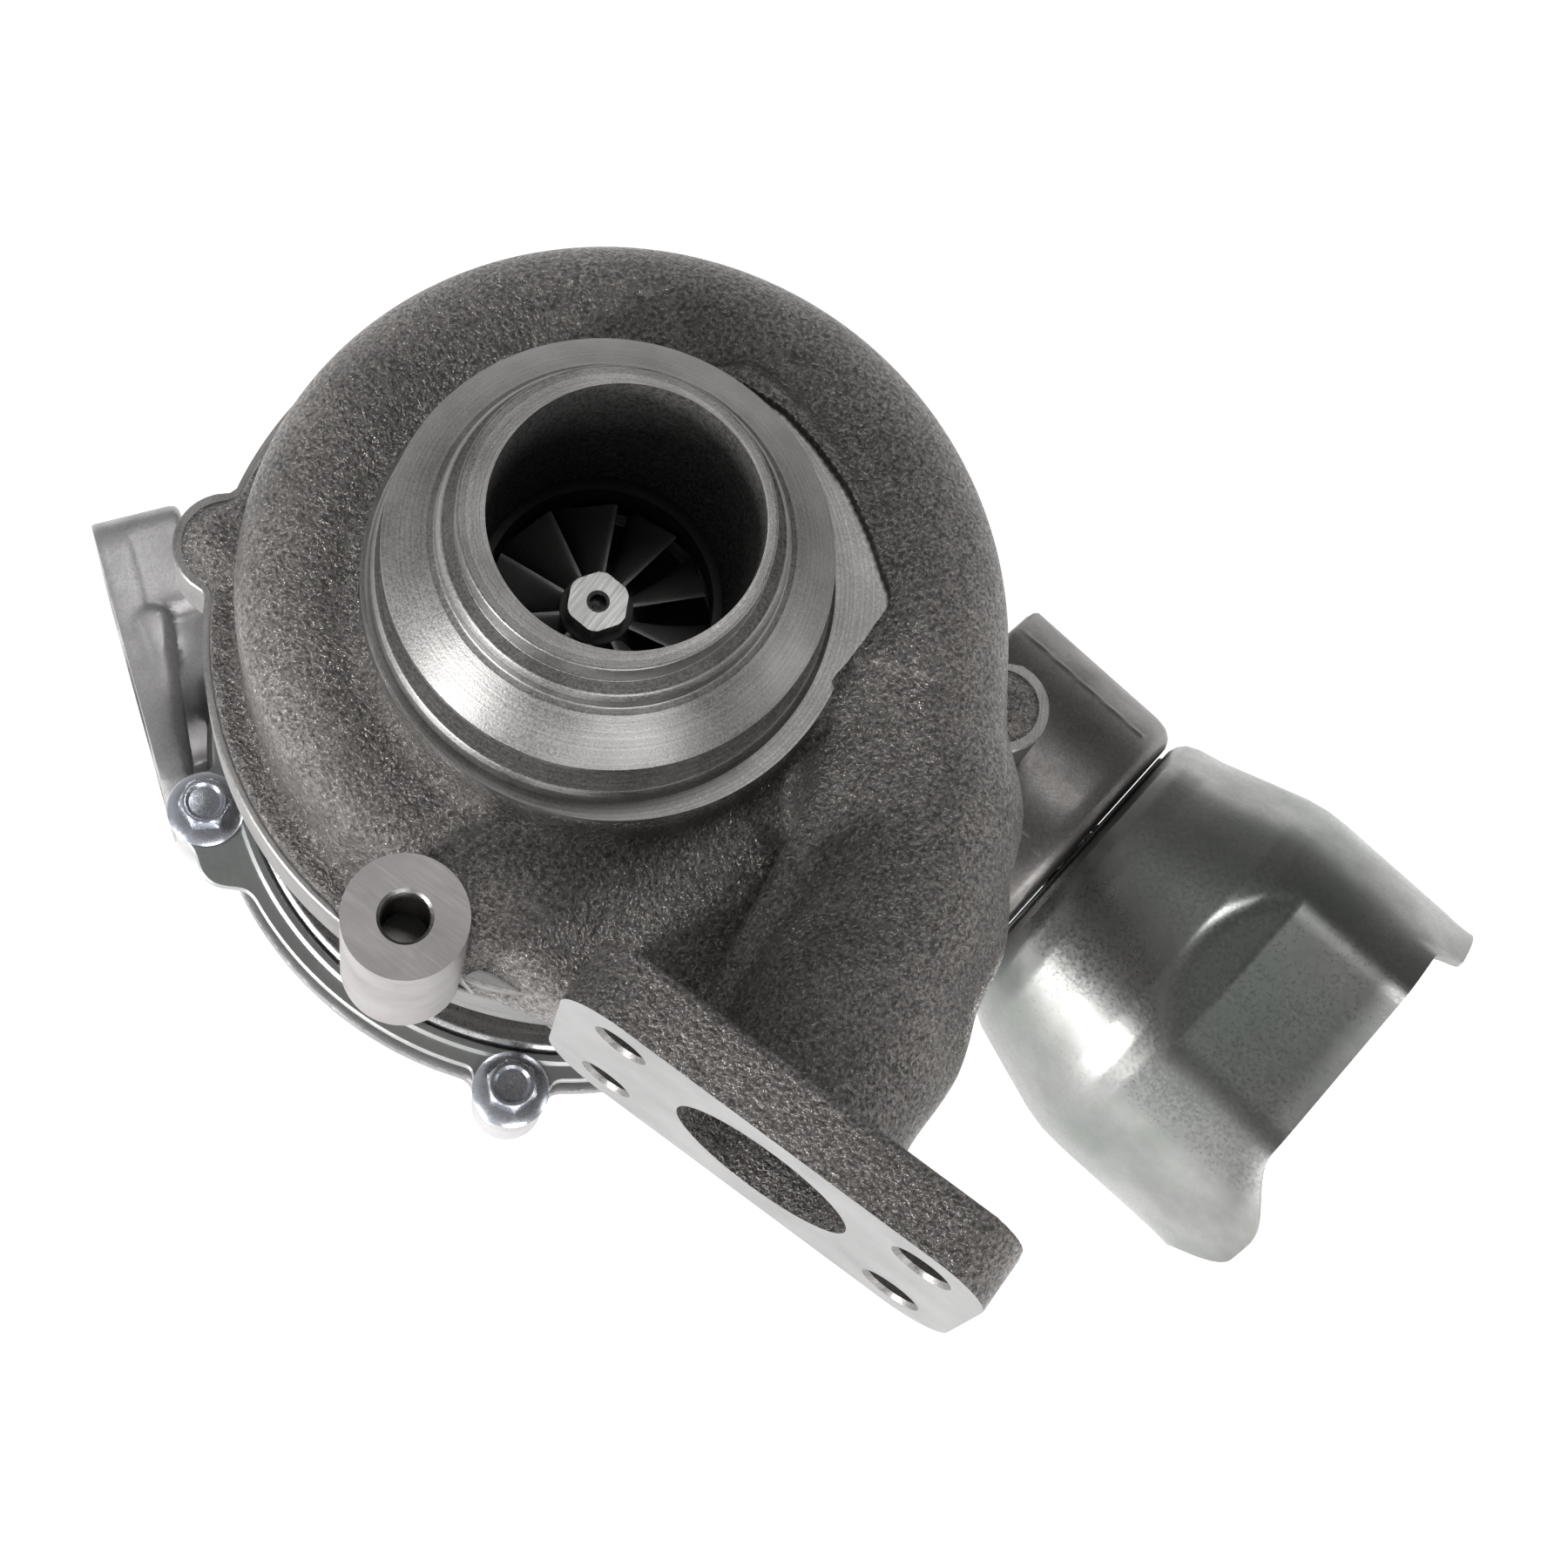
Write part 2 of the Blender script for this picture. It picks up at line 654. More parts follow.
def carve(name, mesh, steps, node, body=HOUSING, sharp=30.0):
    """Add and cut shapes one after another. A step is ("+" or "-", bmesh, material)."""
    target = add_object(name + "_raw", mesh)
    tools = []
    for sign, bm, material in steps:
        tools.append(add_object("tool", to_mesh("tool", bm, material)))
        change = target.modifiers.new("Change", "BOOLEAN")
        change.object = tools[-1]
        change.operation = "UNION" if sign == "+" else "DIFFERENCE"
        change.solver = "MANIFOLD"
        change.material_mode = "TRANSFER"
    found = target.evaluated_get(bpy.context.evaluated_depsgraph_get())
    final = bpy.data.meshes.new_from_object(found)
    final.name = name
    for thing in tools + [target]:
        bpy.data.objects.remove(thing)
    return placed(name, final, node, body, sharp)


# ---------------- turbine housing

VOLUTE_START, VOLUTE_TURN = 18.0, 322.0
SHRINK, FIRST_R, INNER_R, FLOOR, WALL = 0.0295, 13.2, 37.0, 54.5, 4.0
LEAN_TURN = 40.0   # the snail sits a millimetre off the shaft, away from this side
LAND = ((0.0, 37.6), (7.0, 37.8), (14.0, 38.7), (21.0, 40.6), (27.0, 42.3), (31.0, 44.2), (34.0, 44.2),
        (38.0, 43.3), (45.0, 42.1), (55.0, 41.1), (69.0, 39.9), (80.0, 39.6), (95.0, 38.4),
        (110.0, 37.7), (360.0, 37.6))   # the machined land's edge: angle and radius
LAND_DEPTH = 28.0
SKIRT_R, SKIRT_SHIFT = 37.7, 1.6   # the wide foot of the spigot, which sits off the shaft
SPIGOT = ((0.0, 0.0), (23.6, 0.0, 0.5), (23.6, 5.2, 0.2), (25.6, 5.9, 1.0), (26.2, 7.2, 0.8),
          (26.4, 9.2, 0.6), (27.5, 9.75, 0.3), (34.2, 15.7, 0.35), (34.2, 17.3, 0.4),
          (31.0, 18.4, 0.8), (30.5, 23.6, 0.8), (35.0, 24.8, 0.3), (35.6, 25.8, 0.4), (36.0, 28.4, 0.4),
          (37.2, 30.6, 0.3), (37.2, 36.0), (0.0, 36.0))
CORE = ((0, 36.0), (20.4, 36.0), (20.4, 45.2), (38.5, 45.2), (38.5, 57.3), (47.5, 57.3), (47.5, 80.0),
        (0, 80.0))   # the bored space for the insert, the vanes and their ring
BORE_R, BORE_END_R, BORE_SHIFT, BORE_SHIFT_TURN = 20.66, 19.2, 1.35, 35.7
RIM_R, RIM_TOP, RIM_BOTTOM = 62.1, 58.6, 71.3   # the machined rear rim
LUGS = ((-157.0, 60.0, 9.0, 55.0), (28.0, 68.5, 8.0, 52.0))   # angle, circle, radius and top
FLANGE_HALF_X, FLANGE_HALF_Z, FLANGE_BEND, FLANGE_THICK = 38.0, 24.8, 10.5, 10.8
STUD_X, STUD_Z, STUD_R, SLIP_R, STUD_CHAMFER = 27.1, 14.25, 3.9, 4.6, 0.75
BOSS_R, BOSS_SHIFT, BOSS_FOOT = 9.7, 7.0, 62.0
THREAD_R, THREAD_TALL, THREAD_STEP, THREAD_DEEP = 3.7, 0.4, 0.55, 14.0


def volute_field(block, extra):
    """The snail's round sections around the wheel, extra millimetres larger than the passage."""
    turn = (block.turn - VOLUTE_START) % 360
    radius = FIRST_R - np.minimum(turn, VOLUTE_TURN) * SHRINK
    fade = np.clip((turn - VOLUTE_TURN) / 22.0, 0, 1)
    lean = np.cos(np.radians(block.turn - LEAN_TURN))
    ring = np.hypot(block.rho - INNER_R - radius + lean, block.d - FLOOR + radius)
    return ring - (radius + extra) * (1 - fade) + fade * 6.0


def runner_stations(extra):
    """The runner's (x, y, depth, radius) from the first volute section out to the flange."""
    flange, _ = mount("turbine_inlet_flange")
    start = on_circle(INNER_R + FIRST_R - cos(radians(VOLUTE_START - LEAN_TURN)), VOLUTE_START)
    return ((start.x, start.y, FLOOR - FIRST_R, FIRST_R + extra),
            (59.0, 2.0, 39.8, 12.8 + extra), (67.2, -14.0, 37.6, 12.4 + extra),
            (70.8, -32.0, 35.4, 13.2 + extra), (73.1, flange.y - 3.0, 33.4, 15.7 + extra * 0.5))


def turbine_skin():
    """The sand-cast skin of the turbine housing, with its gas passage."""
    flange, _ = mount("turbine_inlet_flange")
    boss = boss_place()
    back, middle = flange.y + FLANGE_THICK, flange_depth()
    low, high = cad("turbine_housing")
    block = Block((low.x - 2, low.y - 2, low.z - 1), (high.x + 2, high.y + 2, RIM - 6), 0.7)

    hub = block.upright(SKIRT_SHIFT, 0, SKIRT_R + 0.1, 28.6, 60.0, 1.5)
    step = block.upright(0, 0, 41.6, 26.5, 60.0, 1.0) + np.maximum(np.abs(block.turn - 66) - 28, 0) * 0.5
    floor = block.upright(0, 0, 55.0, 52.0, 72.5, 3.0)
    rim = block.upright(0, 0, RIM_R - 1.2, 56.6, 60.6, 1.2)
    saddle = block.box((10.0, -54.0, 47.0), (52.0, -20.0, 72.0), 5.0)
    web = block.tube((41.0, 6.0, 51.0), (42.0, -36.0, 54.0), 11.0, 9.0)
    post = block.upright(boss.x, boss.y, BOSS_R - 0.5, 30.0, BOSS_FOOT, 1.0)
    runner = block.path(runner_stations(WALL))
    ridge = block.tube((47.0, 0.0, 31.2), (53.8, back, 33.6), 2.6, 2.3)
    body = volute_field(block, WALL)
    for shape, fillet in ((hub, 6.5), (step, 4.0), (floor, 6.0), (rim, 3.0), (saddle, 8.0), (web, 7.0),
                          (post, 6.0), (runner, 2.4), (ridge, 3.6)):
        body = join(body, shape, fillet)
    plate = block.box((flange.x - FLANGE_HALF_X - 0.2, flange.y - 2.0, middle - FLANGE_HALF_Z - 0.2),
                      (flange.x + FLANGE_HALF_X + 0.2, back + 0.2, middle + FLANGE_HALF_Z + 0.2), 2.2)
    outline = corner(np.abs(block.x - flange.x) - FLANGE_HALF_X + FLANGE_BEND,
                     np.abs(block.d - middle) - FLANGE_HALF_Z + FLANGE_BEND) - FLANGE_BEND
    front = flange.y - 2.0
    outline = np.maximum(outline, np.abs(block.y - (front + back) / 2) - (back - front) / 2)
    body = join(body, np.maximum(plate, outline), 3.0)
    for angle, circle, radius, top in LUGS:
        end, root = on_circle(circle, angle), on_circle(42.0, angle)
        lug = np.maximum(block.tube((root.x, root.y, 64.0), (end.x, end.y, 64.0), radius + 4, radius + 0.3),
                         np.abs(block.d - (top + 61.0) / 2) - (61.0 - top) / 2)
        body = join(body, lug, 2.4)
    gas = join(volute_field(block, 0.0), block.path(runner_stations(0.0)), 2.0)
    return block.mesh("turbine_housing_skin", take(body, gas, 0.8))


def turbine_housing(look):
    flange, _ = mount("turbine_inlet_flange")
    boss = boss_place()
    back, middle = flange.y + FLANGE_THICK, height(flange_depth())
    shift = on_circle(BORE_SHIFT, BORE_SHIFT_TURN)
    skirt = Vector((SKIRT_SHIFT, 0.0, 0.0))
    mesh = turbine_skin()
    mesh.materials.append(look["cast"])
    steps = []

    def add(sign, bm, material="turned"):
        steps.append((sign, bm, look[material]))

    add("-", cube((120.0, 20.0, 120.0), Matrix.Translation((flange.x, flange.y - 10.0, middle))), "face")
    add("-", prism(land_outline(), -5.0, LAND_DEPTH))
    add("+", upright_rod(skirt, 40.0, LAND_DEPTH, SKIRT_R, 192))
    add("+", ring_mesh(rounded(SPIGOT, 0.4), 192))
    add("+", prism(lower_outline(), RIM_TOP, RIM_BOTTOM, 0.3))
    add("+", prism(sector_outline(40.0, 61.4, -77.0, -54.0), 53.0, 61.0, 0.3))
    add("+", upright_rod(boss, BOSS_FOOT, depth_of(boss.z), BOSS_R, 72), "boss")
    add("-", ring_mesh(CORE, 128))
    add("-", rod((shift.x, shift.y, height(-2.0)), (0.0, 0.0, height(37.4)), BORE_R, 144, BORE_END_R),
        "cast_inside")
    for sx in (-1, 1):
        for sz in (-1, 1):
            x, z = flange.x + sx * STUD_X, middle + sz * STUD_Z
            radius = SLIP_R if sx > 0 else STUD_R
            add("-", rod((x, flange.y - 2, z), (x, back + 3.0, z), radius, 40))
            add("-", rod((x, flange.y - 0.1, z), (x, flange.y + 0.8, z), radius + STUD_CHAMFER, 40, radius))
    thread = [(0.0, THREAD_DEEP)]
    thread += [(THREAD_R + (THREAD_TALL if k % 2 else 0.0), THREAD_DEEP - THREAD_STEP * k) for k in range(24)]
    thread += [(THREAD_R + 0.1, 0.5), (4.6, -0.3), (0.0, -0.3)]
    add("-", ring_mesh(thread, 48, boss, (0.0, 0.0, -1.0)), "thread")
    carve("turbine_housing_casting", mesh, steps, "turbine_housing")


def land_outline():
    """The land's edge, a little ragged where the tool runs out into the sand-cast skin."""
    angles, radii = zip(*LAND)
    points = []
    for k in range(720):
        angle = k / 2
        rough = 0.12 * sin(angle * 2.9) + 0.1 * sin(angle * 6.7 + 1.0) + 0.07 * sin(angle * 13.1 + 2.0)
        radius = float(np.interp(angle, angles, radii)) + (rough if 28 < angle < 112 else 0.0)
        points.append(tuple(on_circle(radius, angle).xy))
    return points


def flange_depth():
    """The depth of the inlet flange's middle: its mount lies 21.5 mm below it."""
    return depth_of(mount("turbine_inlet_flange")[0].z) - 21.5


def boss_place():
    """The middle of the support boss's top face: its mount sits beside the hole."""
    return mount("support_boss")[0] + Vector((BOSS_SHIFT, 0.0, 0.0))


def lower_outline():
    """The machined rear rim with its two lugs, as one anticlockwise outline."""
    points = []
    lugs = [(on_circle(circle, angle), radius) for angle, circle, radius, _ in LUGS]
    for k in range(360):
        ray = Vector((cos(radians(k)), sin(radians(k))))
        reach = RIM_R
        for centre, radius in lugs:
            along = ray.dot(centre.xy)
            gap = (centre.xy - ray * along).length
            if along > 0 and gap < radius:
                reach = max(reach, along + sqrt(radius ** 2 - gap ** 2))
        points.append(tuple(ray * reach))
    return points


def sector_outline(inner, outer, start, end, steps=24):
    return arc_points(0, 0, outer, start, end, steps) + arc_points(0, 0, inner, end, start, steps)


# ---------------- compressor housing

SCROLL_CIRCLE, SCROLL_START, SCROLL_SWEEP, SCROLL_WALL = 37.0, 155.0, 349.0, 3.5
SCROLL_R, SCROLL_GROWTH, SCROLL_TOP, OUTLET_R = 5.0, 7.5, 127.6, 15.5
SEAT, SEAT_R, RING_R, BOLT_HOLE_R = 121.6, 64.0, 62.9, 3.3   # where the ring clamps the compressor
OUTLET_HOLES = ((13.5, -12.5), (-18.5, 12.5))   # across and down from the pipe's middle
INTAKE = ((0.0, 110.0), (38.0, 110.0), (38.0, 123.6), (22.9, 123.6), (21.0, 126.0), (18.6, 129.8),
          (17.4, 134.4), (17.1, 142.0), (20.0, 150.0), (21.5, 170.0), (23.5, 190.0), (0.0, 190.0))


class Outlet:
    """The compressor's outlet pipe, set out from its flange's mount."""

    def __init__(self):
        at, self.out = mount("compressor_outlet_flange")
        self.side = Vector((self.out.y, -self.out.x, 0.0))
        self.face = at.dot(self.out)
        self.depth = depth_of(at.z) + 12.0

    def place(self, along, across=0.0, down=0.0):
        """A point as (x, y, depth), from the pipe's middle line."""
        at = self.out * along + self.side * (SCROLL_CIRCLE + across)
        return at.x, at.y, self.depth + down

    def point(self, along, across=0.0, down=0.0):
        x, y, depth = self.place(along, across, down)
        return x, y, height(depth)


def scroll_field(block, extra, outlet):
    t = ((block.turn - SCROLL_START) % 360) / SCROLL_SWEEP
    radius = SCROLL_R + SCROLL_GROWTH * np.minimum(t, 1)
    depth = SCROLL_TOP + (outlet.depth - SCROLL_TOP) * np.minimum(t, 1)
    fade = np.clip((t - 1) * 40, 0, 1)
    ring = np.hypot(block.rho - SCROLL_CIRCLE, block.d - depth) - (radius + extra)
    ring = ring + fade * 8.0
    full = SCROLL_R + SCROLL_GROWTH
    slim = 1.0 if extra else 0.0
    stations = [(*outlet.place(outlet.face * part), full + (OUTLET_R - slim - full) * part + extra)
                for part in (-0.06, 0.2, 0.45, 0.7, 0.97 if extra else 1.2)]
    return join(ring, block.path(stations), 1.5)


def compressor_bolts():
    return [centre_of(f"compressor_bolt_{i}") for i in range(1, 7)]


def compressor_housing(look):
    outlet = Outlet()
    block = Block.around("compressor_housing", 0.8, 1.0)
    rim = depth_of(cad("compressor_housing")[0].z)
    body = block.turned([(0.0, SEAT), (SEAT_R, SEAT), (SEAT_R, 125.2), (60.0, 126.4), (50.0, 128.4),
                         (42.0, 134.0), (31.0, 141.0), (26.5, 148.0), (26.5, 180.0), (28.9, 182.0),
                         (28.9, rim), (0.0, rim)])
    body = join(body, scroll_field(block, SCROLL_WALL, outlet), 6.0)
    for at in compressor_bolts():
        body = join(body, block.upright(at.x, at.y, 6.3, SEAT, 133.8, 1.4), 3.0)
    for across, down, half, bend, back, edge, fillet in (
            (-2.5, 0.0, (26.0, 20.5), 6.0, 5.4, 0.8, 2.0), (14.2, -12.5, (10.6, 7.7), 4.6, 16.0, 1.6, 1.5),
            (-18.5, 12.5, (8.7, 7.7), 4.6, 12.0, 1.6, 1.5)):   # the flange and its two bosses
        plate = block.plate(outlet.out, (SCROLL_CIRCLE + across, outlet.depth + down), half, bend,
                            outlet.face - back, outlet.face + 1.0, edge)
        body = join(body, plate, fillet)
    rib = block.tube(outlet.place(outlet.face - 6.0, 3.0, -18.6),
                     outlet.place(outlet.face - 5.0, -27.0, -17.6), 3.2, 1.0)
    body = join(body, rib, 1.0)
    body = np.maximum(body, np.minimum(SEAT - block.d, SEAT_R - block.rho))
    body = take(body, scroll_field(block, 0.0, outlet), 0.6)
    body = take(body, block.turned(INTAKE), 0.5)
    mesh = block.mesh("compressor_housing_skin", body)
    mesh.materials.append(look["aluminium"])
    turn = Matrix.Rotation(atan2(outlet.out.y, outlet.out.x), 4, "Z")
    front = Matrix.Translation(outlet.point(outlet.face + 10.0)) @ turn
    steps = [("-", cube((20.0, 90.0, 70.0), front), look["face"])]
    for across, down in OUTLET_HOLES:
        hole = rod(outlet.point(outlet.face - 10.0, across, down),
                   outlet.point(outlet.face + 2.0, across, down), 3.2, 32)
        steps.append(("-", hole, look["turned"]))
    carve("compressor_housing_casting", mesh, steps, "compressor_housing", sharp=34.0)


# ---------------- clamp ring, backplate and bolts

def ray_outline(reach, shape, count=360):
    """Where rays from the shaft leave a flat shape. The shape gives distances for x and y."""
    turn = np.linspace(0, 2 * pi, count, endpoint=False)[:, None]
    radius = np.linspace(reach[1], reach[0], 500)[None, :]
    inside = shape(radius * np.cos(turn), radius * np.sin(turn)) < 0
    first = np.argmax(inside, axis=1)
    found = radius[0, first]
    found = (np.roll(found, 1) + 2 * found + np.roll(found, -1)) / 4
    return [(r * cos(a), r * sin(a)) for r, a in zip(found.tolist(), turn[:, 0].tolist())]


def flat_ring(outline, inner, levels):
    """A ring whose outer edge follows an outline. A level is (grow, beyond, depth): grow past the
    outline or, where that is None, beyond the inner radius."""
    bm = bmesh.new()
    rings = []
    for grow, beyond, depth in levels:
        ring = []
        for x, y in outline:
            length = sqrt(x * x + y * y)
            reach = inner + beyond if grow is None else length + grow
            ring.append((x / length * reach, y / length * reach, height(depth)))
        rings.append(ring)
    loft(bm, rings, loop=True)
    return bm


TAB_ANGLE = -121.5


def clamp_ring(look):
    low, high = cad("clamp_ring")
    top, bottom = depth_of(high.z), depth_of(low.z)
    tab = on_circle(64.4, TAB_ANGLE)

    def shape(x, y):
        field = np.hypot(x, y) - RING_R
        for at in compressor_bolts():
            field = join(field, np.hypot(x - at.x, y - at.y) - 6.5, 3.0)
        return join(field, np.hypot(x - tab.x, y - tab.y) - 4.9, 4.5)

    levels = [(0.0, None, top + 0.5), (-0.35, None, top + 0.08), (-0.7, None, top)]
    levels += [(None, beyond, depth) for beyond, depth in (
        (2.3, top), (1.9, top - 0.12), (1.3, top - 0.75), (0.9, top - 0.85), (0.3, top - 0.8),
        (0.0, top - 0.4), (0.0, bottom - 0.3), (0.3, bottom))]
    levels += [(-0.4, None, bottom), (0.0, None, bottom - 0.4)]
    ring = flat_ring(ray_outline((60.0, 80.0), shape, 720), 58.4, levels)
    piece("clamp_ring_pressed", ring, look["ring"], "clamp_ring", 26.0)


def backplate(look):
    turned("compressor_backplate_turned", [
        (6.9, 113.2), (44.0, 113.2, 0.5), (46.5, 114.6, 0.5), (50.5, 114.6, 0.3), (51.0, 115.8, 0.3),
        (54.6, 115.8, 0.3), (55.2, 114.2, 0.6), (57.2, 114.0, 0.6), (58.0, 114.6, 0.4), (58.0, 119.3),
        (62.0, 119.3), (62.0, 121.2), (58.5, 121.2), (58.5, 119.0), (9.4, 119.0), (8.5, 117.4),
        (6.9, 117.4)], look["plate"], "compressor_backplate", 192)


HEAD_FLAT, WASHER_R, SHANK_R = 4.0, 6.75, 2.9   # half across flats, the washer and the shank


def bolt(name, look, up):
    """A flanged hexagon bolt with a dished head, over its CAD node; up is 1 for a head on top."""
    low, high = cad(name)
    middle = centre_of(name)
    x, y = middle.x, middle.y
    top, end = (high.z, low.z) if up > 0 else (low.z, high.z)
    spin = (x * 7.3 + y * 3.1) % 60
    levels = [(SHANK_R, False, end)]
    levels += [(radius, hexagonal, top - below * up) for radius, hexagonal, below in (
        (SHANK_R, False, 6.2), (WASHER_R, False, 6.2), (WASHER_R, False, 5.75),
        (WASHER_R - 0.3, False, 5.45), (WASHER_R - 1.5, False, 4.85), (4.75, True, 4.6),
        (4.62, True, 4.4), (4.62, True, 0.75), (4.3, True, 0.42), (3.95, True, 0.16), (3.75, True, 0.03),
        (3.6, False, 0.0), (3.2, False, 0.04), (2.95, False, 0.3), (2.7, False, 0.62),
        (0.001, False, 0.75))]
    rings = []
    for radius, hexagonal, z in levels:
        turns = [360.0 * k / 72 for k in range(72)]
        reach = [hexed(radius, HEAD_FLAT, turn + spin) if hexagonal else radius for turn in turns]
        rings.append([(x + r * cos(radians(turn)), y + r * sin(radians(turn)), z)
                      for r, turn in zip(reach, turns)])
    bm = bmesh.new()
    loft(bm, rings)
    piece(name + "_detailed", bm, look["bolt"], name, 28.0)


# ---------------- centre housing

NORTH = Vector((0.0, 1.0, 0.0))


def centre_housing(look):
    block = Block.around("centre_housing", 0.8, 1.0)
    drain, _ = mount("oil_drain_flange")
    oil = depth_of(drain.z) - 8.5
    crank = (Vector(JOINTS["lever_swing"]["pos_m"]) - SHAFT) / MM
    pad = cad("oil_washer")[0].y - GAP
    body = block.turned([(0.0, 62.9), (12.0, 62.9), (20.0, 66.8), (27.0, 68.0), (27.0, 71.6), (61.0, 71.6),
                         (61.0, 76.4), (30.0, 76.4), (25.0, 80.0), (22.0, 86.0), (22.0, 96.0),
                         (26.0, 102.0), (45.0, 106.5), (46.0, 107.0), (46.0, 112.9), (0.0, 112.9)])
    neck = block.turned([(0.0, 60.0), (27.0, 71.0), (34.0, 76.0), (24.5, 82.0), (22.0, 96.0), (0.0, 100.0)])
    boss = block.upright(crank.x, crank.y, 8.6, 74.0, 84.0, 0.6)
    oil_pad = block.plate(NORTH, (0.0, oil - 1.0), (12.0, 9.0), 4.0, 8.0, pad + 1.0, 0.8)
    flange = block.plate(-NORTH, (0.0, oil), (21.0, 10.5), 7.0, -drain.y - 6.0, -drain.y + 1.0, 0.5)
    pipe = block.tube((0.0, drain.y + 4.0, oil), (0.0, -8.0, oil), 9.6, 11.5)
    for shape, fillet in ((neck, 3.0), (boss, 3.0), (oil_pad, 3.0), (flange, 2.0), (pipe, 4.0)):
        body = join(body, shape, fillet)
    body = np.maximum(np.maximum(body, drain.y - block.y), block.y - pad)
    mesh = block.mesh("centre_housing_skin", body)
    mesh.materials.append(look["cast"])
    steps = []

    def drill(bm, material="turned"):
        steps.append(("-", bm, look[material]))

    def across(x, start, end, depth, radius, sides):
        return rod((x, start, height(depth)), (x, end, height(depth)), radius, sides)

    drill(ring_mesh(((0, 55), (6.9, 55), (6.9, 66.8), (7.2, 66.8), (7.2, 103.1), (8, 103.1), (8, 105.4),
                     (18, 105.4), (18, 120), (0, 120)), 64))
    drill(ring_mesh(((27.2, 50), (80, 50), (80, 71.62), (27.2, 71.62)), 128))
    drill(ring_mesh(((61.0, 50), (90, 50), (90, 90), (61.0, 90)), 128))
    drill(upright_rod(crank, 95, 60, 5.5, 40))
    drill(across(0, pad + 3, 4.0, oil - 1, 4.4, 32))
    drill(across(0, drain.y - 3, -4.0, oil, 6.5, 40), "cast_inside")
    for x in (-15.0, 15.0):
        drill(across(x, drain.y - 3, drain.y + 9, oil, 3.2, 24))
    for i in range(1, 5):
        drill(upright_rod(centre_of(f"turbine_bolt_{i}"), 80, 68, BOLT_HOLE_R, 24))
    carve("centre_housing_casting", mesh, steps, "centre_housing")


# ---------------- rotor

def smooth_stations(stations, parts):
    """Catmull-Rom between the stations' numbers."""
    rows = [np.array(s, float) for s in stations]
    out = []
    for i in range(len(rows) - 1):
        before = rows[max(i - 1, 0)]
        after = rows[min(i + 2, len(rows) - 1)]
        for k in range(parts):
            t = k / parts
            a, b = rows[i], rows[i + 1]
            out.append(0.5 * (2 * a + (b - before) * t + (2 * before - 5 * a + 4 * b - after) * t ** 2
                              + (3 * a - before - 3 * b + after) * t ** 3))
    return out + [rows[-1]]


def blades(bm, count, stations, thick, lean=0.0, phase=0.0, parts=5, spans=5):
    """Thin twisted blades. A station is (hub depth, hub radius, tip depth, tip radius, turn)."""
    fine = smooth_stations(stations, parts)
    for index in range(count):
        base = phase + index * 360.0 / count
        rings = []
        for n, (hub_depth, hub, tip_depth, tip, turn) in enumerate(fine):
            end = min(1.0, 0.45 + min(n, len(fine) - 1 - n) * 0.4)
            ring = []
            for sign, order in ((1, range(spans + 1)), (-1, range(spans, -1, -1))):
                for k in order:
                    t = k / spans
                    radius = (hub - 1.0) * (1 - t) + tip * t
                    depth = hub_depth * (1 - t) + tip_depth * t
                    wide = thick * (1.35 - 0.6 * t) * end
                    ring.append(on_circle(radius, base + turn + lean * t + sign * degrees(wide / 2 / radius),
                                          depth))
            rings.append(ring)
        loft(bm, rings)


def carved_wheel(name, profile, blade_sets, material, node, extra=()):
    """A hub with its blades joined on, and any more shapes."""
    steps = []
    for settings in blade_sets:
        bm = bmesh.new()
        blades(bm, **settings)
        steps.append(("+", bm, material))
    hub = to_mesh(name, ring_mesh(rounded(profile, 0.3), 96), material)
    carve(name, hub, steps + list(extra), node, ROTOR, 34.0)


NOSE, NOSE_R = 40.2, 5.3   # the turbine wheel's hexagon: the depth of its top, and its corners
NUT_HALF_WIDTH = 4.5


